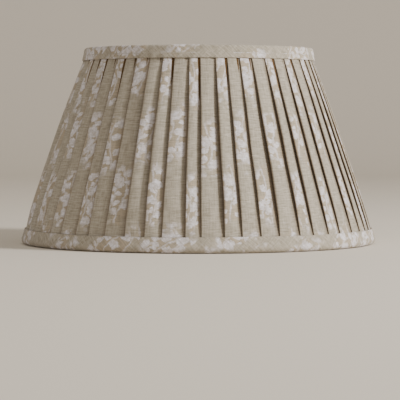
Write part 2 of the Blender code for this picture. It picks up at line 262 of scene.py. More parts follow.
def leafTrail(add, u, v, worn, look, shift, size):
    # one layer of leafy stems running up the cloth; gives a mask from 0 to 1
    spacing = look["trailSpacing"]
    column = add("Math", [u, 1 / spacing, shift], "MULTIPLY_ADD")
    index = add("Math", [column], "FLOOR")
    within = add("Math", [column], "FRACT")
    turn = add("TexWhiteNoise", {"W": index}, output="Value", noise_dimensions="1D")
    phase = add("Math", [turn, 2 * math.pi], "MULTIPLY")
    bend = add("Math", [v, 2 * math.pi / look["trailWave"], phase], "MULTIPLY_ADD")
    swing = add("Math", [bend], "SINE")
    centred = add("Math", [within, 0.5], "SUBTRACT")
    metres = add("Math", [centred, spacing], "MULTIPLY")
    x = add("Math", [swing, look["trailSway"], metres], "MULTIPLY_ADD")
    rightSide = add("Math", [x, 0.0], "GREATER_THAN")
    out = add("Math", [x], "ABSOLUTE")
    # the leaves of one side start half a pitch above those of the other
    pitch = look["leafPitch"] * size
    halfStep = add("Math", [rightSide, 0.5, turn], "MULTIPLY_ADD")
    row = add("Math", [v, 1 / pitch, halfStep], "MULTIPLY_ADD")
    rowIndex = add("Math", [row], "FLOOR")
    rowPart = add("Math", [row], "FRACT")
    y = add("Math", [rowPart, -0.5], "ADD")
    y = add("Math", [y, pitch], "MULTIPLY")
    leafKey = add("CombineXYZ", {"X": index, "Y": rowIndex, "Z": rightSide})
    chance = add("TexWhiteNoise", {"Vector": leafKey}, output="Color", noise_dimensions="3D")
    parts = add("SeparateXYZ", {"Vector": chance})
    tilt = add("MapRange", {"Value": parts, "To Min": look["leafLean"][0], "To Max": look["leafLean"][1]})
    scale = add("MapRange", {"Value": parts.node.outputs["Y"], "To Min": look["leafScales"][0],
                             "To Max": look["leafScales"][1]})
    shown = add("Math", [parts.node.outputs["Z"], look["leavesLeftOut"]], "GREATER_THAN")
    away = add("Math", [out, look["leafReach"] * size], "SUBTRACT")
    place = add("CombineXYZ", {"X": away, "Y": y})
    turned = add("VectorRotate", {"Vector": place, "Angle": tilt}, rotation_type="Z_AXIS", invert=True)
    local = add("SeparateXYZ", {"Vector": turned})
    along = add("Math", [local, 1 / (look["leafLength"] * size)], "MULTIPLY")
    along = add("Math", [along, scale], "DIVIDE")
    square = add("Math", [along, along], "MULTIPLY")
    breadth = add("Math", [square, -1.0, 1.0], "MULTIPLY_ADD")
    offAxis = add("Math", [local.node.outputs["Y"]], "ABSOLUTE")
    offAxis = add("Math", [offAxis, 1 / (look["leafWidth"] * size)], "MULTIPLY")
    offAxis = add("Math", [offAxis, scale], "DIVIDE")
    inside = add("Math", [breadth, offAxis], "SUBTRACT")
    inside = add("Math", [look["blockWear"], worn, inside], "MULTIPLY_ADD")
    leaf = add("MapRange", {"Value": inside, "From Min": -0.12, "From Max": 0.16},
               interpolation_type="SMOOTHSTEP")
    leaf = add("Math", [leaf, shown], "MULTIPLY")
    stem = add("MapRange", {"Value": out, "From Min": look["stemEdges"][0], "From Max": look["stemEdges"][1],
                            "To Max": look["stemCover"]})
    return add("Math", [leaf, stem], "MAXIMUM")


def sprigMask(add, cut, u, v, look):
    # where the sprigs stand: a half-drop repeat of tall ragged ovals
    column = add("Math", [u, 1 / look["repeatAcross"], look["columnStart"]], "MULTIPLY_ADD")
    index = add("Math", [column], "FLOOR")
    across = add("Math", [column], "FRACT")
    across = add("Math", [across, -0.5], "ADD")
    across = add("Math", [across, look["repeatAcross"] / look["sprigHalfWidth"]], "MULTIPLY")
    chance = add("TexWhiteNoise", {"W": index}, output="Value", noise_dimensions="1D")
    drop = add("Math", [index, 0.5], "MULTIPLY")
    drop = add("Math", [chance, look["dropChance"], drop], "MULTIPLY_ADD")
    up = add("Math", [v, 1 / look["repeatUp"], drop], "MULTIPLY_ADD")
    up = add("Math", [up], "FRACT")
    up = add("Math", [up, -0.5], "ADD")
    up = add("Math", [up, look["repeatUp"] / look["sprigHalfHeight"]], "MULTIPLY")
    oval = add("CombineXYZ", {"X": across, "Y": up})
    oval = add("VectorMath", [oval], "LENGTH", output="Value")
    ragged = add("TexNoise", {"Vector": cut, "Scale": look["raggedScale"], "Detail": 2.0})
    ragged = add("Math", [ragged, look["raggedness"], oval], "MULTIPLY_ADD")
    return add("MapRange", {"Value": ragged, "From Min": 1.9, "From Max": 1.5},
               interpolation_type="SMOOTHSTEP")


def printedLinen(name, turn, look, folded):
    # undyed linen, plain-woven and hand block-printed: matt, slubby, with patchy chalk-white ink
    made, add = newMaterial(name)
    cloth = add("UVMap", uv_map="cloth")
    cut = add("VectorRotate", {"Vector": cloth, "Angle": turn}, rotation_type="Z_AXIS")
    drift = add("TexNoise", {"Vector": cut, "Scale": look["shakeScale"], "Detail": 2.0}, output="Color")
    drift = add("VectorMath", [drift, (0.5, 0.5, 0.5)], "SUBTRACT")
    drift = add("VectorMath", {0: drift, "Scale": look["shake"]}, "SCALE")
    shaken = add("VectorMath", [cut, drift], "ADD")
    axes = add("SeparateXYZ", {"Vector": shaken})
    u, v = axes, axes.node.outputs["Y"]
    worn = add("TexNoise", {"Vector": cut, "Scale": look["wearScale"], "Detail": 3.0, "Roughness": 0.65})
    worn = add("Math", [worn, 0.5], "SUBTRACT")
    large, small = [leafTrail(add, u, v, worn, look, shift, size)
                    for shift, size in zip(look["trailStarts"], (1.0, look["smallLeaves"]))]
    mask = add("Math", [large, small], "MAXIMUM")
    sprigs = sprigMask(add, cut, u, v, look)
    mask = add("Math", [mask, sprigs], "MULTIPLY")

    # slubs: thick and thin places along the weft and the warp
    pitch = look["threadPitch"]
    weft = add("VectorMath", [cut, (look["slubScales"][0], 1 / pitch, 0.0)], "MULTIPLY")
    weft = add("TexNoise", {"Vector": weft, "Scale": 1.0, "Detail": 3.0, "Roughness": 0.65})
    warp = add("VectorMath", [cut, (1 / pitch, look["slubScales"][1], 0.0)], "MULTIPLY")
    warp = add("TexNoise", {"Vector": warp, "Scale": 1.0, "Detail": 3.0, "Roughness": 0.65})
    threads = add("Mix", {"Factor": 0.38, "A": weft, "B": warp}, data_type="FLOAT")
    threads = add("MapRange", {"Value": threads, "From Min": 0.37, "From Max": 0.63})
    ground = add("Mix", {"Factor": threads, "A": srgb(look["groundDark"]), "B": srgb(look["ground"])},
                 data_type="RGBA")
    wash = add("Math", [sprigs, look["underPrintCover"]], "MULTIPLY")
    wash = add("Math", [threads, wash], "MULTIPLY")
    ground = add("Mix", {"Factor": wash, "A": ground, "B": srgb(look["underPrint"])}, data_type="RGBA")
    # the ink sits on the raised threads and misses some of the low ones
    patchy = add("TexNoise", {"Vector": cut, "Scale": look["patchScale"], "Detail": 4.0, "Roughness": 0.7})
    patchy = add("MapRange", {"Value": patchy, "From Min": 0.36, "From Max": 0.66,
                              "To Min": look["inkCover"][0], "To Max": look["inkCover"][1]})
    held = add("MapRange", {"Value": threads, "To Min": 0.6, "To Max": 1.0})
    cover = add("Math", [patchy, held], "MULTIPLY")
    cover = add("Math", [cover, mask], "MULTIPLY")
    if folded:  # no ink where the folds are painted in shade
        depth = add("Attribute", output="Fac", attribute_name="foldDepth")
        inkOutsidePaintedShade = add("MapRange", {"Value": depth, "From Min": 0.1, "From Max": 0.45, "To Min": 1.0,
                                   "To Max": 0.0})
        cover = add("Math", [cover, inkOutsidePaintedShade], "MULTIPLY")
    colour = add("Mix", {"Factor": cover, "A": ground, "B": srgb(look["ink"])}, data_type="RGBA")
    if folded:
        # painted shade: the folds and the panel ends beside them are darkened toward a warm brown where shade
        # falls
        paintedShadeMix = add("Math", [depth, look["foldDarkening"]], "MULTIPLY")
        colour = add("Mix", {"Factor": paintedShadeMix, "A": colour, "B": srgb(look["foldColour"])},
                     data_type="RGBA")

    waves = add("VectorMath", {0: cut, "Scale": 2 * math.pi / pitch}, "SCALE")
    waves = add("VectorMath", [waves], "SINE")
    weave = add("SeparateXYZ", {"Vector": waves})
    weave = add("Math", [weave, weave.node.outputs["Y"]], "MULTIPLY")
    relief = add("Math", [weave, 0.35, threads], "MULTIPLY_ADD")
    relief = add("Math", [mask, 0.12, relief], "MULTIPLY_ADD")
    bump = add("Bump", {"Strength": 0.5, "Distance": 0.0003, "Height": relief})
    rough = add("MapRange", {"Value": threads, "To Min": 0.98, "To Max": 0.86})
    shader = add("BsdfPrincipled", {"Base Color": colour, "Roughness": rough, "Normal": bump, "IOR": 1.46,
                                    "Specular IOR Level": 0.22, "Sheen Weight": 0.12,
                                    "Sheen Roughness": 0.5})
    add("OutputMaterial", {"Surface": shader})
    return made


# knife pleats, built by a Geometry Nodes rule

pleatLook = {
    "pleats": 19,
    "strips": 3,
    "seed": 11,
    "takeUp": 0.034,  # flat cloth in each pleat
    "layer": 0.0005,  # between one thickness of folded linen and the next
    "roll": 0.0008,  # how far a fold is rolled open at the middle of the wall
    "lift": 0.0014,  # how far its edge stands off the cloth there
    "pinchBelow": 0.93,  # how much of that the bottom trim presses out
    "pinchAbove": 0.95,
    "openBelow": 4.5,  # the folds open out quickly above the bottom trim and slowly below the top one
    "openAbove": 2.0,
    "pitchVariation": 0.11,
    "rollVariation": 0.4,
    "loosestAt": -84.0,  # degrees from +X, where the folds stand off most
    "looseSwing": 0.5,
    "loosePlaces": 3.0,  # loose stretches round the shade
    "sway": 0.16,
    "swayStep": 7.31,  # noise cells from one fold to the next
    "swayScale": 2.3,  # noise cells up the wall
    "swayLoosens": 1.2,
    "wrinkle": 0.0005,
    "creaseScale": (150.0, 34.0),  # noise cells in a metre, across and up
    "rows": 44,
    "clothThickness": 0.00042,
    "wallInside": 0.0010,  # from the lining out to the middle of the lowest thickness
    "valleyFrom": 0.72,  # share of the panel where the painted shade of the folds begins
    # painted shade at the far end of the panel and at the leading edge of each fold
    "valleyDepth": 0.65,
    "edgeDepth": 0.75,
    "foldSteps": 5,  # in each quarter turn of a fold
    "panelStops": (0.16, 0.24, 0.33, 0.43, 0.53, 0.63, 0.73, 0.83, 0.92, 1.0),
    "underStops": (0.96, 0.78, 0.6, 0.42, 0.24),
    "fallPower": 1.15,  # how the panel falls away from its fold
    "belly": 0.42,
    "sinkFrom": 0.45,  # share of the panel where it starts to go down to the lowest layer
    "turnSlack": 0.571,  # cloth that a quarter turn takes beyond its own width
}

# what the rule reads at each point: its share of the panel, how far under it lies and on which side of the
# inner fold, its steps across and up in cloth layers and in rolls, its turn over the fold and its lift
pathValues = ("across", "under", "side", "fixedAcross", "rollAcross", "fixedUp", "rollUp", "arc", "flap")


def foldTurn(start, step):
    # one step of the quarter turn over a fold
    angle = start - step / pleatLook["foldSteps"] * math.pi / 2
    across, up = 1 + math.cos(angle), 1 + math.sin(angle)
    return (across / 2, across, 1.5 + math.sin(angle) / 2, up, math.pi - angle, 1)


def pleatPath():
    # one pleat from fold to fold: the path values of each point, and last how much painted shade it takes in
    # the folds
    path = []
    look = pleatLook
    steps, edgeDepth = look["foldSteps"], look["edgeDepth"]
    for step in range(steps + 1):  # over the fold, from its leading edge to its top
        path.append((0, 0, 0, *foldTurn(math.pi, step), edgeDepth * max(0.0, 1 - step / 3)))
    for across in look["panelStops"]:  # down the panel that shows
        fall = (1 - across) ** look["fallPower"] * (1 + look["belly"] * math.sin(math.pi * across))
        sink = min(1.0, max(0.0, (across - look["sinkFrom"]) / 0.5))
        layers = 2 * (1 - sink * sink * (3 - 2 * sink))
        shaded = max(0.0, (across - look["valleyFrom"]) / (1 - look["valleyFrom"]))
        path.append((across, 0, 0, 0, 0, layers, 2 * fall, look["turnSlack"] * (1 - across), fall,
                     look["valleyDepth"] * shaded))
    # the hidden layers under the flap take the full painted shade
    path.append((1, 0.5, 0, 0, 0, 0, 0, 0, 0, 1))
    path.append((1, 0.96, 0, 0, 0, 0, 0, 0, 0, 1))
    path.append((1, 1.0, 0.5, 0, 0, 0.5, 0, 0, 0, 1))  # the hidden inner fold
    for under in look["underStops"]:  # back out, rising under the flap
        path.append((1, under, 1, 0, 0, 1, 0, 0, (1 - under) ** 1.25, 1))
    for step in range(steps + 1):  # up to the next fold's leading edge
        path.append((1, 0, 1, *foldTurn(math.pi * 1.5, step), 1 + (edgeDepth - 1) * step / steps))
    return path


def pleatPattern(rows):
    path = pleatPath()
    mesh = bpy.data.meshes.new("pleatPattern")
    count = len(path)
    places = [(i, 0, j) for j in range(rows + 1) for i in range(count)]
    faces = [(j * count + i, j * count + i + 1, (j + 1) * count + i + 1, (j + 1) * count + i)
             for j in range(rows) for i in range(count - 1)]
    mesh.from_pydata(places, [], faces)
    values = dict(zip((*pathValues, "foldDepth"), zip(*(path * (rows + 1)))))
    values["row"] = [j / rows for j in range(rows + 1) for _ in path]
    for name, column in values.items():
        mesh.attributes.new(name, "FLOAT", "POINT").data.foreach_set("value", column)
    return mesh


def pleatTree():
    look = pleatLook
    counts = ("Pleats", "First Pleat", "All Pleats", "Seed")
    sizes = ("Bottom Radius", "Top Radius", "Bottom", "Top", "Bottom Seam", "Top Seam", "Take Up", "Layer",
             "Roll", "Lift", "Pinch Below", "Pinch Above", "Pitch Variation", "Roll Variation", "Loosest At",
             "Loose Swing", "Loose Places", "Sway", "Wrinkle")
    tree, add, given = newGroup("knifePleats", {**dict.fromkeys(counts, "Int"),
                                                **dict.fromkeys(sizes, "Float")})

    index = add("GeometryNodeInputIndex")
    line = add("GeometryNodeMeshLine", {"Count": given["Pleats"], "Offset": (0, 0, 0)})
    line = add("GeometryNodeStoreNamedAttribute", {"Geometry": line, "Name": "pleat", "Value": index},
               data_type="FLOAT", domain="POINT")
    copies = add("GeometryNodeInstanceOnPoints", {"Points": line, "Instance": given["Geometry"]})
    copies = add("GeometryNodeRealizeInstances", {"Geometry": copies})
    across, under, side, fixedAcross, rollAcross, fixedUp, rollUp, arc, flap, row, own = [
        add("GeometryNodeInputNamedAttribute", {"Name": name}, data_type="FLOAT")
        for name in (*pathValues, "row", "pleat")]

    number = add("Math", [own, given["First Pleat"]], "ADD")
    height = add("MapRange", {"Value": row, "To Min": given["Bottom"], "To Max": given["Top"]})
    radius = add("MapRange", {"Value": row, "To Min": given["Bottom Radius"],
                              "To Max": given["Top Radius"]})
    shown = add("MapRange", {"Value": height, "From Min": given["Bottom Seam"],
                             "From Max": given["Top Seam"], "To Min": -1.0, "To Max": 1.0})
    above = add("MapRange", {"Value": shown})
    above = add("Math", [above, look["openAbove"]], "POWER")
    above = add("Math", [above, given["Pinch Above"]], "MULTIPLY")
    below = add("MapRange", {"Value": shown, "From Min": 0.0, "From Max": -1.0})
    below = add("Math", [below, look["openBelow"]], "POWER")
    below = add("Math", [below, given["Pinch Below"], above], "MULTIPLY_ADD")
    swell = add("Math", [1.0, below], "SUBTRACT")

    wedge = add("Math", [2 * math.pi, given["All Pleats"]], "DIVIDE")
    angles, looseness = [], []
    for ahead in (0, 1):  # this pleat's own fold, then the next one's
        foldNumber = add("Math", [number, float(ahead)], "ADD")
        key = add("Math", [foldNumber, given["All Pleats"]], "MODULO")
        jitter = add("FunctionNodeRandomValue", {"Min": -1.0, "Max": 1.0, "ID": key,
                                                 "Seed": given["Seed"]}, data_type="FLOAT")
        spot = add("Math", [key, look["swayStep"]], "MULTIPLY")
        spot = add("CombineXYZ", {"X": spot, "Y": row})
        drift = add("TexNoise", {"Vector": spot, "Scale": look["swayScale"], "Detail": 1.0})
        drift = add("Math", [drift, 0.5], "SUBTRACT")
        angle = add("Math", [jitter, given["Pitch Variation"], foldNumber], "MULTIPLY_ADD")
        angle = add("Math", [drift, given["Sway"], angle], "MULTIPLY_ADD")
        angles.append(add("Math", [angle, wedge], "MULTIPLY"))
        otherSeed = add("FunctionNodeIntegerMath", [given["Seed"], 5], "ADD")
        loose = add("FunctionNodeRandomValue", {"Min": -1.0, "Max": 1.0, "ID": key, "Seed": otherSeed},
                    data_type="FLOAT")
        loose = add("Math", [drift, look["swayLoosens"], loose], "MULTIPLY_ADD")
        loose = add("Math", [loose, given["Roll Variation"], 1.0], "MULTIPLY_ADD")
        # the hand that set the pleats drew some stretches tighter than others
        stretch = add("Math", [foldNumber, wedge], "MULTIPLY")
        stretch = add("Math", [stretch, given["Loosest At"]], "SUBTRACT")
        stretch = add("Math", [stretch, given["Loose Places"]], "MULTIPLY")
        stretch = add("Math", [stretch], "COSINE")
        stretch = add("Math", [stretch, given["Loose Swing"], 1.0], "MULTIPLY_ADD")
        loose = add("Math", [loose, stretch], "MULTIPLY")
        looseness.append(add("Math", [loose, swell], "MULTIPLY"))
    angle = add("Mix", {"Factor": across, "A": angles[0], "B": angles[1]}, data_type="FLOAT")
    loose = add("Mix", {"Factor": side, "A": looseness[0], "B": looseness[1]}, data_type="FLOAT")
    roll = add("Math", [loose, given["Roll"]], "MULTIPLY")
    flapLift = add("Math", [loose, given["Lift"]], "MULTIPLY")

    pitch = add("Math", [radius, wedge], "MULTIPLY")
    hidden = add("Math", [given["Take Up"], pitch], "SUBTRACT")
    hidden = add("Math", [hidden, 0.5], "MULTIPLY")
    beyond = add("Math", [under, hidden], "MULTIPLY")
    shift = add("Math", [fixedAcross, given["Layer"], beyond], "MULTIPLY_ADD")
    shift = add("Math", [rollAcross, roll, shift], "MULTIPLY_ADD")
    shift = add("Math", [shift, radius], "DIVIDE")
    angle = add("Math", [angle, shift], "ADD")
    lift = add("Math", [rollUp, roll], "MULTIPLY")
    lift = add("Math", [flap, flapLift, lift], "MULTIPLY_ADD")
    lift = add("Math", [fixedUp, given["Layer"], lift], "MULTIPLY_ADD")

    # how far along the flat cloth each point lies, for the weave and the print
    outward = add("Math", [across, pitch, beyond], "MULTIPLY_ADD")
    inward = add("Math", [given["Take Up"], beyond], "SUBTRACT")
    onCloth = add("Mix", {"Factor": side, "A": outward, "B": inward}, data_type="FLOAT")
    curl = add("Math", [given["Layer"], 0.5, roll], "MULTIPLY_ADD")
    onCloth = add("Math", [arc, curl, onCloth], "MULTIPLY_ADD")
    onCloth = add("Math", [number, given["Take Up"], onCloth], "MULTIPLY_ADD")
    flatPlace = add("CombineXYZ", {"X": onCloth, "Y": height})

    creases = add("VectorMath", [flatPlace, (*look["creaseScale"], 0.0)], "MULTIPLY")
    creases = add("TexNoise", {"Vector": creases, "Scale": 1.0, "Detail": 2.0})
    creases = add("Math", [creases, 0.5], "SUBTRACT")
    lift = add("Math", [creases, given["Wrinkle"], lift], "MULTIPLY_ADD")
    reach = add("Math", [radius, lift], "ADD")
    x = add("Math", [angle], "COSINE")
    y = add("Math", [angle], "SINE")
    x = add("Math", [x, reach], "MULTIPLY")
    y = add("Math", [y, reach], "MULTIPLY")
    place = add("CombineXYZ", {"X": x, "Y": y, "Z": height})

    copies = add("GeometryNodeStoreNamedAttribute", {"Geometry": copies, "Name": "cloth",
                                                     "Value": flatPlace}, data_type="FLOAT2",
                 domain="CORNER")
    copies = add("GeometryNodeSetPosition", {"Geometry": copies, "Position": place})
    copies = add("GeometryNodeMergeByDistance", {"Geometry": copies, "Distance": 0.00001})
    copies = add("GeometryNodeSetShadeSmooth", {"Geometry": copies})
    return closeGroup(tree, add, copies, given["Material"])


def runGroup(source, tree, values):
    # each input of the group takes the value with its own name, written in camel case
    modifier = source.modifiers.new(tree.name, "NODES")
    modifier.node_group = tree
    for item in tree.interface.items_tree:
        key = item.name[0].lower() + item.name[1:].replace(" ", "")
        if item.in_out == "INPUT" and key in values:
            modifier[item.identifier] = values[key]


def makeCover(material):
    look = pleatLook
    tree = pleatTree()
    bottom, top = liningBox[0].z, liningBox[1].z
    for strip in range(look["strips"]):
        name = f"pleatedCover{strip + 1}"
        source = meshObject(name + "Pattern", pleatPattern(look["rows"]))
        runGroup(source, tree, {
            **look, "firstPleat": strip * look["pleats"], "allPleats": look["pleats"] * look["strips"],
            "bottom": bottom, "top": top, "bottomRadius": wallRadius(bottom, look["wallInside"]),
            "topRadius": wallRadius(top, look["wallInside"]), "bottomSeam": trimLook["bottomSeam"],
            "topSeam": trimLook["topSeam"], "loosestAt": math.radians(look["loosestAt"]),
            "material": material,
        })
        thick = source.modifiers.new("Thickness", "SOLIDIFY")
        thick.thickness = look["clothThickness"]
        thick.offset = 0
        piece = finished(source, name)
        dress(piece, "shade", "printed_linen", material, f"cover_strip_{strip + 1}")


# bias-cut trims, folded over both rings

trimLook = {
    "topSeam": topTrimBox[0].z,  # where the pleats go under each trim
    "bottomSeam": bottomTrimBox[1].z,
    "out": 0.0036,  # outer face of the trims, from the lining
    "hemInside": 0.0071,  # face of the hem, inside the lining's outer face
    "hemHeight": 0.0095,
    "turnedUnder": 0.0050,  # raw edge folded away behind the band
    "foldGap": 0.0014,
    "thickness": 0.0006,
    "topRoll": 0.0028,
    "bottomRoll": 0.0042,
    "lean": 0.0022,  # how far the top band leans in
    "puff": 0.00042,
    "puffScale": (2.3, 22, 3.1),  # noise cells round the band, up it and over all
    "pleatMark": 0.00022,  # how far the pleats show through the band
    "joinStep": 0.0005,  # where the ends of the band lap at the back
    "joinWidth": 0.011,
    "joinPlace": 0.02,
    "columns": 684,
    "gap": 0.0016,
}


# taller sprigs than on the cover, so that enough of the print meets the narrow bands
topPrint = {**linenLook, "sprigHalfHeight": 0.030, "sprigHalfWidth": 0.019}
bottomPrint = {**linenLook, "sprigHalfHeight": 0.042, "sprigHalfWidth": 0.019, "columnStart": 0.55}
bias = math.radians(45)


def trimPlace(outline, heights, look):
    seam, edge = heights
    around, up, whole = look["puffScale"]
    marks = pleatLook["pleats"] * pleatLook["strips"]

    def place(i, j):
        radius, z = outline[i]
        angle = 2 * math.pi * j / look["columns"] + math.pi / 2
        onBand = max(0.0, min(1.0, (radius - wallRadius(z)) / look["out"]))
        spot = Vector((math.cos(angle) * around, math.sin(angle) * around, z * up)) * whole
        puff = noise.noise(spot) + 0.5 * noise.noise(spot * 2.7)
        fine = noise.noise(spot * 9)
        nearSeam = max(0.0, 1 - abs(z - seam) / abs(edge - seam))
        mark = math.sin(marks * angle + 1.3 * noise.noise(spot * 0.7)) * nearSeam
        along = (angle - math.pi / 2) * radius - abs(z - seam)  # the lap runs at 45 degrees
        lap = 1.0 if 0.0 < along + look["joinPlace"] < look["joinWidth"] else 0.0
        out = onBand * (puff * look["puff"] + fine * look["puff"] * 0.3 + mark * look["pleatMark"]
                        + lap * look["joinStep"])
        height = z + onBand * nearSeam * noise.noise(spot * 1.7) * look["puff"]
        return ((radius + out) * math.cos(angle), (radius + out) * math.sin(angle), height)
    return place


def makeTrim(name, node, outline, heights, material):
    look = trimLook
    outline = spaced(outline, look["gap"])
    lengths = [0.0]
    for start, end in zip(outline, outline[1:]):
        lengths.append(lengths[-1] + (end - start).length)
    middle = sum(point.x for point in outline) / len(outline)
    around = 2 * math.pi * middle
    mesh = gridMesh(name, len(outline) - 1, look["columns"], trimPlace(outline, heights, look),
                    lambda i, j: (around * j / look["columns"], lengths[i]))
    piece = withModifier(mesh, name, "SOLIDIFY", thickness=look["thickness"], offset=-1.0)
    dress(piece, "shade", "trim_linen", material, node)


def makeTrims(topMaterial, bottomMaterial):
    look = trimLook
    small = look["foldGap"] / 2
    seam, edge = look["topSeam"], shadeTop
    seamOut = topTrimBox[1].x - look["puff"]
    hemEnd = edge - look["hemHeight"]
    top = roundedLine([
        (seamOut - look["foldGap"], seam + look["turnedUnder"]), (seamOut - look["foldGap"], seam),
        (seamOut, seam), (seamOut - look["lean"], edge),
        (wallRadius(edge, -look["hemInside"]), edge), (wallRadius(hemEnd, -look["hemInside"]), hemEnd),
    ], [small * 0.98, small * 0.98, look["topRoll"], look["topRoll"]], 6)
    makeTrim("topBinding", "top_trim", top, (seam, edge), topMaterial)
    seam, edge = look["bottomSeam"], 0.0
    hemEnd = look["hemHeight"]
    out = look["out"]
    under = seam - look["turnedUnder"]
    bottom = roundedLine([
        (wallRadius(hemEnd, -look["hemInside"]), hemEnd), (wallRadius(edge, -look["hemInside"]), edge),
        (wallRadius(edge, out), edge), (wallRadius(seam, out), seam),
        (wallRadius(seam, out) - look["foldGap"], seam), (wallRadius(under, out) - look["foldGap"], under),
    ], [look["topRoll"], look["bottomRoll"], small * 0.98, small * 0.98], 6)
    makeTrim("bottomBinding", "bottom_trim", bottom, (seam, edge), bottomMaterial)


# lining

liningLook = {
    "thickness": 0.0004,
    "columns": 288,
    "rows": 44,
    "slack": 0.0005,  # how far the cloth gives between the ribs
    "crease": 0.00028,
    "seams": 3,
    "seamWidth": 0.009,
    "seamHeight": 0.0006,
    "colour": "#e4ddcd",
    "colourDeep": "#cfc5b1",
    "threadPitch": 0.0009,
    "slubScale": 60.0,
    "ageScale": 18.0,
}


def cottonCloth(name, look):
    # fine unbleached cotton, plain-woven: matt and creamy, with a faint even grid of threads
    made, add = newMaterial(name)
    cut = add("UVMap", uv_map="cloth")
    pitch = look["threadPitch"]
    weft = add("VectorMath", [cut, (look["slubScale"], 0.8 / pitch, 0.0)], "MULTIPLY")
    weft = add("TexNoise", {"Vector": weft, "Scale": 1.0, "Detail": 2.0})
    warp = add("VectorMath", [cut, (0.8 / pitch, look["slubScale"], 0.0)], "MULTIPLY")
    warp = add("TexNoise", {"Vector": warp, "Scale": 1.0, "Detail": 2.0})
    threads = add("Math", [weft, warp], "ADD")
    threads = add("MapRange", {"Value": threads, "From Min": 0.75, "From Max": 1.25})
    ageing = add("TexNoise", {"Vector": cut, "Scale": look["ageScale"], "Detail": 3.0})
    tone = add("Math", [threads, 0.5, ageing], "MULTIPLY_ADD")
    tone = add("MapRange", {"Value": tone, "From Min": 0.45, "From Max": 1.05})
    colour = add("Mix", {"Factor": tone, "A": srgb(look["colourDeep"]), "B": srgb(look["colour"])},
                 data_type="RGBA")
    waves = add("VectorMath", {0: cut, "Scale": 2 * math.pi / pitch}, "SCALE")
    waves = add("VectorMath", [waves], "SINE")
    weave = add("SeparateXYZ", {"Vector": waves})
    weave = add("Math", [weave, weave.node.outputs["Y"], threads], "MULTIPLY_ADD")
    bump = add("Bump", {"Strength": 0.4, "Distance": 0.0002, "Height": weave})
    shader = add("BsdfPrincipled", {"Base Color": colour, "Roughness": 0.92, "Normal": bump, "IOR": 1.46,
                                    "Specular IOR Level": 0.2, "Sheen Weight": 0.1,
                                    "Sheen Roughness": 0.5})
    add("OutputMaterial", {"Surface": shader})
    return made


def makeLining(material):
    look = liningLook
    low, high = liningBox[0].z, liningBox[1].z

    def place(i, j):
        angle = 2 * math.pi * j / look["columns"]
        z = low + (high - low) * i / look["rows"]
        # drawn tight at the rings and eased between them, with shallow creases running up and down
        ease = math.sin(math.pi * i / look["rows"])
        spot = Vector((math.cos(angle) * 5, math.sin(angle) * 5, z * 4))
        crease = noise.noise(spot * 3.5) * look["crease"]
        panelShare = (angle * look["seams"] / (2 * math.pi) + 0.25) % 1
        fromSeam = panelShare * 2 * math.pi / look["seams"] * wallRadius(z)
        seam = look["seamHeight"] if fromSeam < look["seamWidth"] else 0.0
        radius = wallRadius(z) - ease * (look["slack"] + crease) - seam
        return (radius * math.cos(angle), radius * math.sin(angle), z)
    around = 2 * math.pi * wallRadius((low + high) / 2)
    mesh = gridMesh("cottonLining", look["rows"], look["columns"], place,
                    lambda i, j: (around * j / look["columns"], (high - low) * acrossWall * i / look["rows"]))
    piece = withModifier(mesh, "cottonLining", "SOLIDIFY", thickness=look["thickness"], offset=-1.0)
    dress(piece, "shade", "lining_cotton", material, "lining")
    length = 2 * math.pi * wallRadius(low)


# cotton tape wound round both rings

tapeLook = {
    "width": 0.010,
    "advance": 0.0070,  # along the ring for each turn
    "thickness": 0.0003,
    "stepsPerTurn": 14,
    "across": 4,
    "colour": "#ded6c4",
    "colourDeep": "#c8bda6",
    "threadPitch": 0.0012,
    "slubScale": 60.0,
    "ageScale": 18.0,
}


def makeTapes(material):
    look = tapeLook
    for name, node, box, z in (
        ("bottomRingBinding", "bottom_ring_tape", ringBoxes[0], ringHeights[0]),
        ("topRingBinding", "top_ring_tape", ringBoxes[1], ringHeights[1]),
    ):
        centre = box[1].x - ringWire / 2
        turns = round(2 * math.pi * centre / look["advance"])
        steps = turns * look["stepsPerTurn"]
        inner = ringWire / 2 + look["thickness"]

        def place(i, j):
            # each turn's front edge lies on the turn before
            share = i / look["across"]
            angle = 2 * math.pi * (j / steps + share * look["width"] / look["advance"] / turns)
            wind = 2 * math.pi * j / look["stepsPerTurn"]
            lift = inner + 1.15 * look["thickness"] * (1 - share)
            radius = centre + lift * math.cos(wind)
            return (radius * math.cos(angle), radius * math.sin(angle), z - lift * math.sin(wind))
        oneTurn = math.hypot(2 * math.pi * inner, look["advance"])
        mesh = gridMesh(name, look["across"], steps, place,
                        lambda i, j: (i / look["across"] * look["width"], j / look["stepsPerTurn"] * oneTurn))
        piece = withModifier(mesh, name, "SOLIDIFY", thickness=look["thickness"], offset=0.0)
        dress(piece, "shade", "binding_tape", material, node)


# wire frame

wireLook = {
    "ringSteps": 192,
    "sides": 16,
    "ribs": 6,  # each welded to both rings
    "beadSize": 0.0014,
    "beadShape": (1.0, 1.2, 1.5),
    "beadReach": 0.62,  # from the ring's middle, in thicknesses of its wire
    "beadWander": 0.12,
    "dripScale": 240.0,
    "patchScale": 60.0,
    "colour": "#d9d6cd",
    "colourDeep": "#c3bfb3",
}


def coatedWire(name, look):
    # steel wire dipped in white epoxy: smooth and half-glossy, a little thin and grey in patches
    made, add = newMaterial(name)
    place = add("TexCoord", output="Object")
    drips = add("TexNoise", {"Vector": place, "Scale": look["dripScale"], "Detail": 3.0})
    patches = add("TexNoise", {"Vector": place, "Scale": look["patchScale"], "Detail": 4.0})
    tone = add("MapRange", {"Value": patches, "From Min": 0.35, "From Max": 0.6})
    colour = add("Mix", {"Factor": tone, "A": srgb(look["colourDeep"]), "B": srgb(look["colour"])},
                 data_type="RGBA")
    rough = add("MapRange", {"Value": drips, "To Min": 0.28, "To Max": 0.5})
    bump = add("Bump", {"Strength": 0.25, "Distance": 0.0002, "Height": drips})
    shader = add("BsdfPrincipled", {"Base Color": colour, "Roughness": rough, "Normal": bump, "IOR": 1.52})
    add("OutputMaterial", {"Surface": shader})
    return made


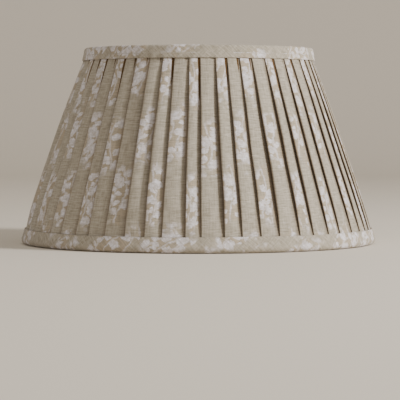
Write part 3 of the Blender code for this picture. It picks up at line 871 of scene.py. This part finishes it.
def rodMesh(name, start, end, radius, sides):
    # a straight wire with rounded ends, turned on Z and then laid along its line
    length = (end - start).length
    arc = [math.pi / 2 * i / 4 for i in range(5)]
    profile = [(radius * math.sin(a), radius - radius * math.cos(a)) for a in arc]
    profile += [(radius * math.cos(a), length - radius + radius * math.sin(a)) for a in arc]
    mesh = lathe(name, profile, sides)
    turn = (end - start).to_track_quat("Z", "Y").to_matrix().to_4x4()
    mesh.transform(Matrix.Translation(start) @ turn)
    return mesh


def ringOfCopies():
    # copies of one small shape, evenly spaced round a circle, each turned to face outwards
    tree, add, given = newGroup("ringOfCopies", {"Count": "Int", "Radius": "Float", "Height": "Float",
                                                 "Slant": "Float", "Wander": "Float", "Seed": "Int"})
    index = add("GeometryNodeInputIndex")
    share = add("Math", [index, given["Count"]], "DIVIDE")
    turn = add("Math", [share, 2 * math.pi], "MULTIPLY")
    place = add("CombineXYZ", {"X": given["Radius"], "Z": given["Height"]})
    place = add("VectorRotate", {"Vector": place, "Angle": turn}, rotation_type="Z_AXIS")
    points = add("GeometryNodeMeshLine", {"Count": given["Count"], "Offset": (0, 0, 0)})
    points = add("GeometryNodeSetPosition", {"Geometry": points, "Position": place})
    least = add("Math", [given["Wander"], -1.0], "MULTIPLY")
    wander = add("FunctionNodeRandomValue", {"Min": least, "Max": given["Wander"], "ID": index,
                                             "Seed": given["Seed"]}, data_type="FLOAT")
    slant = add("Math", [given["Slant"], wander], "ADD")
    rotation = add("CombineXYZ", {"X": slant, "Z": turn})
    rotation = add("FunctionNodeEulerToRotation", {"Euler": rotation})
    size = add("Math", [wander, 0.8, 1.0], "MULTIPLY_ADD")
    copies = add("GeometryNodeInstanceOnPoints", {"Points": points, "Instance": given["Geometry"],
                                                  "Rotation": rotation, "Scale": size})
    return closeGroup(tree, add, copies, given["Material"])


def ballMesh(name, size, rings, sides):
    # a small rounded lump with size (x, y, z)
    arc = [math.pi * i / rings for i in range(rings + 1)]
    profile = [(max(math.sin(a), 0.0), -math.cos(a)) for a in arc]
    mesh = lathe(name, profile, sides)
    mesh.transform(Matrix.Diagonal((size[0], size[1], size[2], 1)))
    return mesh


def copiesAround(tree, name, shape, material, **inputs):
    source = meshObject(name, shape)
    runGroup(source, tree, {"material": material, "seed": 4, "slant": 0.0, "wander": 0.0, **inputs})
    return finished(source, name)


def makeWireFrame(material, tree):
    look = wireLook
    for name, node, box, z in (("bottomWireRing", "bottom_ring", ringBoxes[0], ringHeights[0]),
                               ("topWireRing", "top_ring", ringBoxes[1], ringHeights[1])):
        centre = box[1].x - ringWire / 2
        profile = [(centre + ringWire / 2 * math.cos(a), z + ringWire / 2 * math.sin(a))
                   for a in [2 * math.pi * i / look["sides"] for i in range(look["sides"])]]
        mesh = lathe(name, profile, look["ringSteps"], looped=True)
        dress(meshObject(name, mesh), "shade", "frame_wire", material, node)
        bead = ballMesh(name + "Bead", [look["beadSize"] * share for share in look["beadShape"]], 8, 12)
        side = 1 if z < shadeTop / 2 else -1
        reach = ringWire * look["beadReach"]
        beads = copiesAround(tree, name + "Welds", bead, material, count=look["ribs"],
                             radius=centre - side * slope * reach, height=z + side * reach,
                             wander=look["beadWander"])
        dress(beads, "shade", "frame_wire", material)
    # rib 1 lies in the XZ plane, so its box gives both its ends and its thickness
    low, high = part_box("strut_1")
    thick = high.y - low.y
    tip = thick / 2 / acrossWall
    lean = thick / 2 * slope / acrossWall
    start = Vector((high.x - tip, 0, low.z + lean))
    end = Vector((low.x + tip, 0, high.z - lean))
    for number in range(look["ribs"]):
        turn = Matrix.Rotation(2 * math.pi * number / look["ribs"], 3, "Z")
        name = f"wireRib{number + 1}"
        mesh = rodMesh(name, turn @ start, turn @ end, thick / 2, look["sides"])
        dress(meshObject(name, mesh), "shade", "frame_wire", material, f"strut_{number + 1}")


# gimbal fitter

fitterLook = {
    "edge": 0.00025,  # small round on every cut edge
    "bendSteps": 7,
    "bendRadius": 0.0022,
    "weldTab": 0.008,  # length welded to the rib
    "weldSunk": 1.06,  # half thicknesses from the outer face of the arm's box to the middle of the tab
    "bore": 0.021,  # radius
    "endRadius": 0.0045,
    "rivetDiameter": 0.0038,
    "holeDiameter": 0.0044,
    "rivetSteps": 40,
    "rivetPlay": 0.0003,  # between a head and the strap
    "rivetRim": 0.25,  # share of a head's height below its dome
    "holeSides": 32,
    "tipSteps": 8,
    "spotWelds": 2,
    "spotWeldSize": (0.0011, 0.0011, 0.0003),
    "spotWeldPlace": 0.0021,  # out from the end of the leg's foot
    "turnedSteps": 96,
    "colour": "#c9c6bc",
    "colourDeep": "#a9a598",
    "spangleScale": 420.0,
    "streakScale": (900.0, 900.0, 120.0),
    "cloudScale": 90.0,
}

reducerLook = {
    "wall": 0.0014,
    "hole": 0.0145,  # radius
    "play": 0.0003,  # inside the fitter ring
    "edge": 0.00028,
    "gripRibs": 12,
    "gripRibSize": (0.0005, 0.0007),
    "colour": "#ebe8df",
    "colourDeep": "#dcd8cc",
    "grainScale": 1600.0,
    "cloudScale": 70.0,
}


def platedSteel(name, look):
    # pressed steel strip, zinc-plated: dull silver with a faint spangle and rubbed streaks
    made, add = newMaterial(name)
    place = add("TexCoord", output="Object")
    spangle = add("TexVoronoi", {"Vector": place, "Scale": look["spangleScale"]}, output="Color")
    spangle = add("SeparateXYZ", {"Vector": spangle})
    streaks = add("VectorMath", [place, look["streakScale"]], "MULTIPLY")
    streaks = add("TexNoise", {"Vector": streaks, "Scale": 1.0, "Detail": 3.0})
    cloudy = add("TexNoise", {"Vector": place, "Scale": look["cloudScale"], "Detail": 4.0})
    tone = add("Math", [spangle, 0.22, cloudy], "MULTIPLY_ADD")
    tone = add("MapRange", {"Value": tone, "From Min": 0.35, "From Max": 0.85})
    colour = add("Mix", {"Factor": tone, "A": srgb(look["colourDeep"]), "B": srgb(look["colour"])},
                 data_type="RGBA")
    rough = add("Math", [streaks, cloudy], "ADD")
    rough = add("MapRange", {"Value": rough, "From Min": 0.7, "From Max": 1.3, "To Min": 0.26,
                             "To Max": 0.46})
    bump = add("Bump", {"Strength": 0.12, "Distance": 0.0001, "Height": streaks})
    shader = add("BsdfPrincipled", {"Base Color": colour, "Metallic": 1.0, "Roughness": rough,
                                    "Normal": bump})
    add("OutputMaterial", {"Surface": shader})
    return made


def strapMesh(name, route, width, thickness, hole):
    # a flat strap bent along a route in the XZ plane, its far end rounded, drilled at hole = (x, z)
    look = fitterLook
    cap = look["endRadius"]
    lengths = [0.0]
    for start, end in zip(route, route[1:]):
        lengths.append(lengths[-1] + (end - start).length)
    total = lengths[-1]
    stations = [s for s in lengths if total - s > cap]
    steps = look["tipSteps"]
    stations += [total - cap * (1 - math.cos(math.pi / 2 * step / steps)) for step in range(steps, -1, -1)]

    def at(s):
        for i, (a, b) in enumerate(zip(lengths, lengths[1:])):
            if s <= b:
                return route[i].lerp(route[i + 1], (s - a) / (b - a))
        return route[-1]

    def place(i, j):
        point = at(stations[i])
        fromTip = max(0.0, cap - (total - stations[i]))
        half = width / 2 - cap + math.sqrt(cap ** 2 - fromTip ** 2)
        return (point.x, half * (2 * j - 1), point.y)
    mesh = gridMesh(name, len(stations) - 1, 1, place, ringed=False)
    strip = meshObject(name + "Strip", mesh)
    wall = strip.modifiers.new("Thickness", "SOLIDIFY")
    wall.thickness = thickness
    wall.offset = 0.0
    wall.use_even_offset = True
    soften = strip.modifiers.new("Edges", "BEVEL")
    soften.width = look["edge"]
    soften.segments = 2
    soften.limit_method = "ANGLE"
    soften.angle_limit = math.radians(50)
    strip = finished(strip, name + "Solid")
    drill = bpy.data.meshes.new(name + "Drill")
    across = Matrix.Translation((hole[0], 0, hole[1])) @ Matrix.Rotation(math.pi / 2, 4, "Y")
    bm = bmesh.new()
    bmesh.ops.create_cone(bm, cap_ends=True, segments=look["holeSides"], radius1=look["holeDiameter"] / 2,
                          radius2=look["holeDiameter"] / 2, depth=thickness * 3, matrix=across)
    bm.to_mesh(drill)
    bm.free()
    drill = meshObject(name + "Drill", drill)
    cut = strip.modifiers.new("Hole", "BOOLEAN")
    cut.operation = "DIFFERENCE"
    cut.solver = "EXACT"
    cut.object = drill
    made = finished(strip, name)
    bpy.data.objects.remove(drill, do_unlink=True)
    made.data.shade_smooth()
    made.data.set_sharp_from_angle(angle=math.radians(40))
    return made


def mirrored(piece, name):
    mesh = piece.data.copy()
    mesh.name = name
    mesh.transform(Matrix.Scale(-1, 4, (1, 0, 0)))
    mesh.flip_normals()
    return meshObject(name, mesh)


def makeFitter(steel, plastic, tree):
    look = fitterLook
    armBox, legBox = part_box("fitter_arm_right"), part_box("gimbal_leg_right")
    ringBox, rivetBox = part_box("fitter_ring"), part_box("pivot_rivet_right")
    pivot = (rivetBox[0].z + rivetBox[1].z) / 2
    width = armBox[1].y - armBox[0].y
    thick = ringBox[1].z - ringBox[0].z
    steps = look["bendSteps"]
    armX, armZ = armBox[0].x + thick / 2, armBox[1].z - thick / 2
    weldLow = Vector((armBox[1].x - thick / 2 * look["weldSunk"], armZ - look["weldTab"]))
    weldTop = Vector((weldLow.x - slope * look["weldTab"], armZ))
    arm = roundedLine([weldLow, weldTop, (armX, armZ), (armX, armBox[0].z)], [look["bendRadius"]] * 2, steps)
    right = strapMesh("fitterArmRight", arm, width, thick, (armX, pivot))
    dress(mirrored(right, "fitterArmLeft"), "shade", "fitter_steel", steel, "fitter_arm_left")
    dress(right, "shade", "fitter_steel", steel, "fitter_arm_right")

    legX, footZ = legBox[1].x - thick / 2, legBox[0].z + thick / 2
    leg = roundedLine([(legBox[0].x, footZ), (legX, footZ), (legX, legBox[1].z)], [look["bendRadius"]], steps)
    right = strapMesh("gimbalLegRight", leg, width, thick, (legX, pivot))
    dress(mirrored(right, "gimbalLegLeft"), "gimbal", "fitter_steel", steel, "gimbal_leg_left")
    dress(right, "gimbal", "fitter_steel", steel, "gimbal_leg_right")

    # domed rivets, turned up on Z and then laid along X
    head = rivetBox[1].z - pivot
    shank = look["rivetDiameter"] / 2
    outer, inner = armX + thick / 2 + look["rivetPlay"], legX - thick / 2 - look["rivetPlay"]
    dome, rim = rivetBox[1].x - outer, look["rivetRim"]
    arc = [math.pi / 2 * i / 7 for i in range(8)]
    for side, name, node in ((1, "pivotRivetRight", "pivot_rivet_right"),
                             (-1, "pivotRivetLeft", "pivot_rivet_left")):
        profile = [(head * math.sin(a), inner - dome * (rim + (1 - rim) * math.cos(a))) for a in arc]
        profile += [(head, inner - 0.00005), (head * 0.97, inner), (shank, inner), (shank, outer)]
        profile += [(head * 0.97, outer), (head, outer + 0.00005)]
        profile += [(head * math.cos(a), outer + dome * (rim + (1 - rim) * math.sin(a))) for a in arc]
        mesh = lathe(name, profile, look["rivetSteps"])
        mesh.transform(Matrix.Translation((0, 0, pivot)) @ Matrix.Rotation(side * math.pi / 2, 4, "Y"))
        mesh.set_sharp_from_angle(angle=math.radians(50))
        dress(meshObject(name, mesh), "shade", "fitter_steel", steel, node)

    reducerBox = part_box("reducer_ring")
    outer, low, high = ringBox[1].x, ringBox[0].z, ringBox[1].z
    bore = look["bore"]
    ring = loopProfile([(outer, low), (outer, high), (bore, high), (bore, low)], look["edge"] * 1.6, 4)
    mesh = lathe("fitterRing", ring, look["turnedSteps"], looped=True)
    dress(meshObject("fitterRing", mesh), "gimbal", "fitter_steel", steel, "fitter_ring")
    dimple = ballMesh("weldDimple", look["spotWeldSize"], 8, 14)
    spots = copiesAround(tree, "fitterSpotWelds", dimple, steel, count=look["spotWelds"],
                         radius=legBox[0].x + look["spotWeldPlace"], height=legBox[0].z + thick + 0.00005)
    dress(spots, "gimbal", "fitter_steel", steel)

    look = reducerLook
    wall, hole, lip = look["wall"], look["hole"], reducerBox[1].x
    top, flangeLow, skirtLow = reducerBox[1].z, reducerBox[1].z - wall, reducerBox[0].z
    skirt = bore - look["play"]
    corners = [(lip, flangeLow), (lip, top), (hole, top), (hole, flangeLow), (skirt - wall, flangeLow),
               (skirt - wall, skirtLow), (skirt, skirtLow), (skirt, flangeLow)]
    mesh = lathe("reducerRing", loopProfile(corners, look["edge"], 3), fitterLook["turnedSteps"], looped=True)
    dress(meshObject("reducerRing", mesh), "gimbal", "reducer_plastic", plastic, "reducer_ring")
    rib = ballMesh("reducerRib", (*look["gripRibSize"], (flangeLow - skirtLow) * 0.5), 8, 10)
    ribs = copiesAround(tree, "reducerGripRibs", rib, plastic, count=look["gripRibs"], radius=hole + 0.0003,
                        height=(top + flangeLow) / 2)
    dress(ribs, "gimbal", "reducer_plastic", plastic)


def mouldedPlastic(name, look):
    # injection-moulded white polypropylene: waxy, half-matt, with a faint sparked texture
    made, add = newMaterial(name)
    place = add("TexCoord", output="Object")
    grain = add("TexNoise", {"Vector": place, "Scale": look["grainScale"], "Detail": 2.0})
    cloudy = add("TexNoise", {"Vector": place, "Scale": look["cloudScale"], "Detail": 3.0})
    colour = add("Mix", {"Factor": cloudy, "A": srgb(look["colourDeep"]), "B": srgb(look["colour"])},
                 data_type="RGBA")
    rough = add("MapRange", {"Value": grain, "To Min": 0.34, "To Max": 0.5})
    bump = add("Bump", {"Strength": 0.15, "Distance": 0.00005, "Height": grain})
    shader = add("BsdfPrincipled", {"Base Color": colour, "Roughness": rough, "Normal": bump, "IOR": 1.49})
    add("OutputMaterial", {"Surface": shader})
    return made


# hand stitches along the hems

stitchLook = {
    "pitch": 0.0062,
    "length": 0.0032,
    "thread": 0.00032,
    "slant": 0.55,
    "wander": 0.18,
    "fromHem": 0.0012,  # in from the hem's edge
    "sunk": 0.3,  # share of the thread that lies in the cloth
    "twistScale": 2200.0,
    "colour": "#d8cfbd",
    "colourDeep": "#b3a68d",
}


def waxedThread(name, look):
    # two-ply cotton thread: soft, matt, twisted
    made, add = newMaterial(name)
    place = add("TexCoord", output="Object")
    twist = add("TexNoise", {"Vector": place, "Scale": look["twistScale"], "Detail": 2.0})
    colour = add("Mix", {"Factor": twist, "A": srgb(look["colourDeep"]), "B": srgb(look["colour"])},
                 data_type="RGBA")
    bump = add("Bump", {"Strength": 0.4, "Distance": 0.0001, "Height": twist})
    shader = add("BsdfPrincipled", {"Base Color": colour, "Roughness": 0.85, "Normal": bump,
                                    "Specular IOR Level": 0.3})
    add("OutputMaterial", {"Surface": shader})
    return made


def makeStitches(material, tree):
    look, trim = stitchLook, trimLook
    thread = ballMesh("stitch", (look["thread"], look["thread"], look["length"] / 2), 8, 8)
    for name, z in (("bottomHemStitches", trim["hemHeight"] - look["fromHem"]),
                    ("topHemStitches", shadeTop - trim["hemHeight"] + look["fromHem"])):
        radius = wallRadius(z, -trim["hemInside"]) - look["thread"] * look["sunk"]
        count = round(2 * math.pi * radius / look["pitch"])
        piece = copiesAround(tree, name, thread, material, count=count, radius=radius, height=z,
                             slant=look["slant"], wander=look["wander"])
        dress(piece, "shade", "binding_tape", material)


# camera, light and stage

cameraLook = {
    "distance": 1.97,
    "height": 0.119,
    "sideways": 0.0015,
    "lens": 179.0,
    "sensor": 36.0,
    "tiltDown": 2.246,
}


def makeCamera():
    data = bpy.data.cameras.new("camera")
    data.lens = cameraLook["lens"]
    data.sensor_width = cameraLook["sensor"]
    made = bpy.data.objects.new("camera", data)
    made.location = (cameraLook["sideways"], -cameraLook["distance"], cameraLook["height"])
    made.rotation_euler = (math.radians(90 - cameraLook["tiltDown"]), 0, 0)
    scene.collection.objects.link(made)
    scene.camera = made


lightLook = {
    "azimuth": 65,  # degrees to the right of the camera
    "elevation": 26,
    "distance": 2.6,
    "size": 0.6,
    "power": 88,
    "colour": "#fffdfb",
    "roomColour": "#fff8ef",
    "roomStrength": 0.61,
}


def makeLight():
    look = lightLook
    data = bpy.data.lights.new("windowLight", "AREA")
    data.shape = "DISK"
    data.size = look["size"]
    data.energy = look["power"]
    data.color = srgb(look["colour"])[:3]
    made = bpy.data.objects.new("windowLight", data)
    target = Vector((0, 0, shadeTop / 2))
    az, el = math.radians(look["azimuth"]), math.radians(look["elevation"])
    ray = Vector((math.sin(az) * math.cos(el), -math.cos(az) * math.cos(el), math.sin(el)))
    made.location = target + look["distance"] * ray
    made.rotation_euler = (target - made.location).to_track_quat("-Z", "Y").to_euler()
    scene.collection.objects.link(made)


stageLook = {
    "colour": "#d8d0c3",
    "half": 5.0,
    "front": -5.0,
    "back": 3.6,  # the wall stands well behind, so that the back of the shade can be seen too
    "tall": 4.0,
    "curve": 1.2,
    "curveSteps": 12,
    "floor": -0.0004,
}


def makeStage():
    # a pale sweep: floor and wall in one sheet
    look = stageLook
    made, add = newMaterial("palePaintedSweep")
    shader = add("BsdfPrincipled", {"Base Color": srgb(look["colour"]), "Roughness": 0.95,
                                    "Specular IOR Level": 0.2})
    add("OutputMaterial", {"Surface": shader})
    mesh = bpy.data.meshes.new("sweep")
    floor, curve, bendFrom = look["floor"], look["curve"], look["back"] - look["curve"]
    outline = [(look["front"], floor), (bendFrom, floor)]
    for step in range(1, look["curveSteps"] + 1):
        turn = step / look["curveSteps"] * math.pi / 2
        outline.append((bendFrom + curve * math.sin(turn), curve - curve * math.cos(turn) + floor))
    outline.append((look["back"], look["tall"]))
    places = [(x, y, z) for y, z in outline for x in (-look["half"], look["half"])]
    faces = [(2 * i, 2 * i + 1, 2 * i + 3, 2 * i + 2) for i in range(len(outline) - 1)]
    mesh.from_pydata(places, [], faces)
    mesh.materials.append(made)
    mesh.shade_smooth()
    meshObject("sweep", mesh)
    world = bpy.data.worlds.new("softRoom")
    scene.world = world
    world.use_nodes = True
    background = world.node_tree.nodes["Background"].inputs
    background["Color"].default_value = srgb(lightLook["roomColour"])
    background["Strength"].default_value = lightLook["roomStrength"]


makeCamera()
makeLight()
makeStage()

print("pleating the cover")
makeCover(printedLinen("blockPrintedLinen", 0.0, linenLook, True))

print("folding the trims")
makeTrims(printedLinen("topBiasLinen", bias, topPrint, False),
          printedLinen("bottomBiasLinen", bias, bottomPrint, False))

print("hanging the lining and winding the tapes")
makeLining(cottonCloth("plainCottonLining", liningLook))
makeTapes(cottonCloth("cottonBindingTape", tapeLook))

print("bending the wire frame and the fitter")
copyTree = ringOfCopies()
makeWireFrame(coatedWire("epoxyCoatedWire", wireLook), copyTree)
makeFitter(platedSteel("zincPlatedSteel", fitterLook), mouldedPlastic("mouldedPolypropylene", reducerLook),
           copyTree)
makeStitches(waxedThread("cottonThread", stitchLook), copyTree)
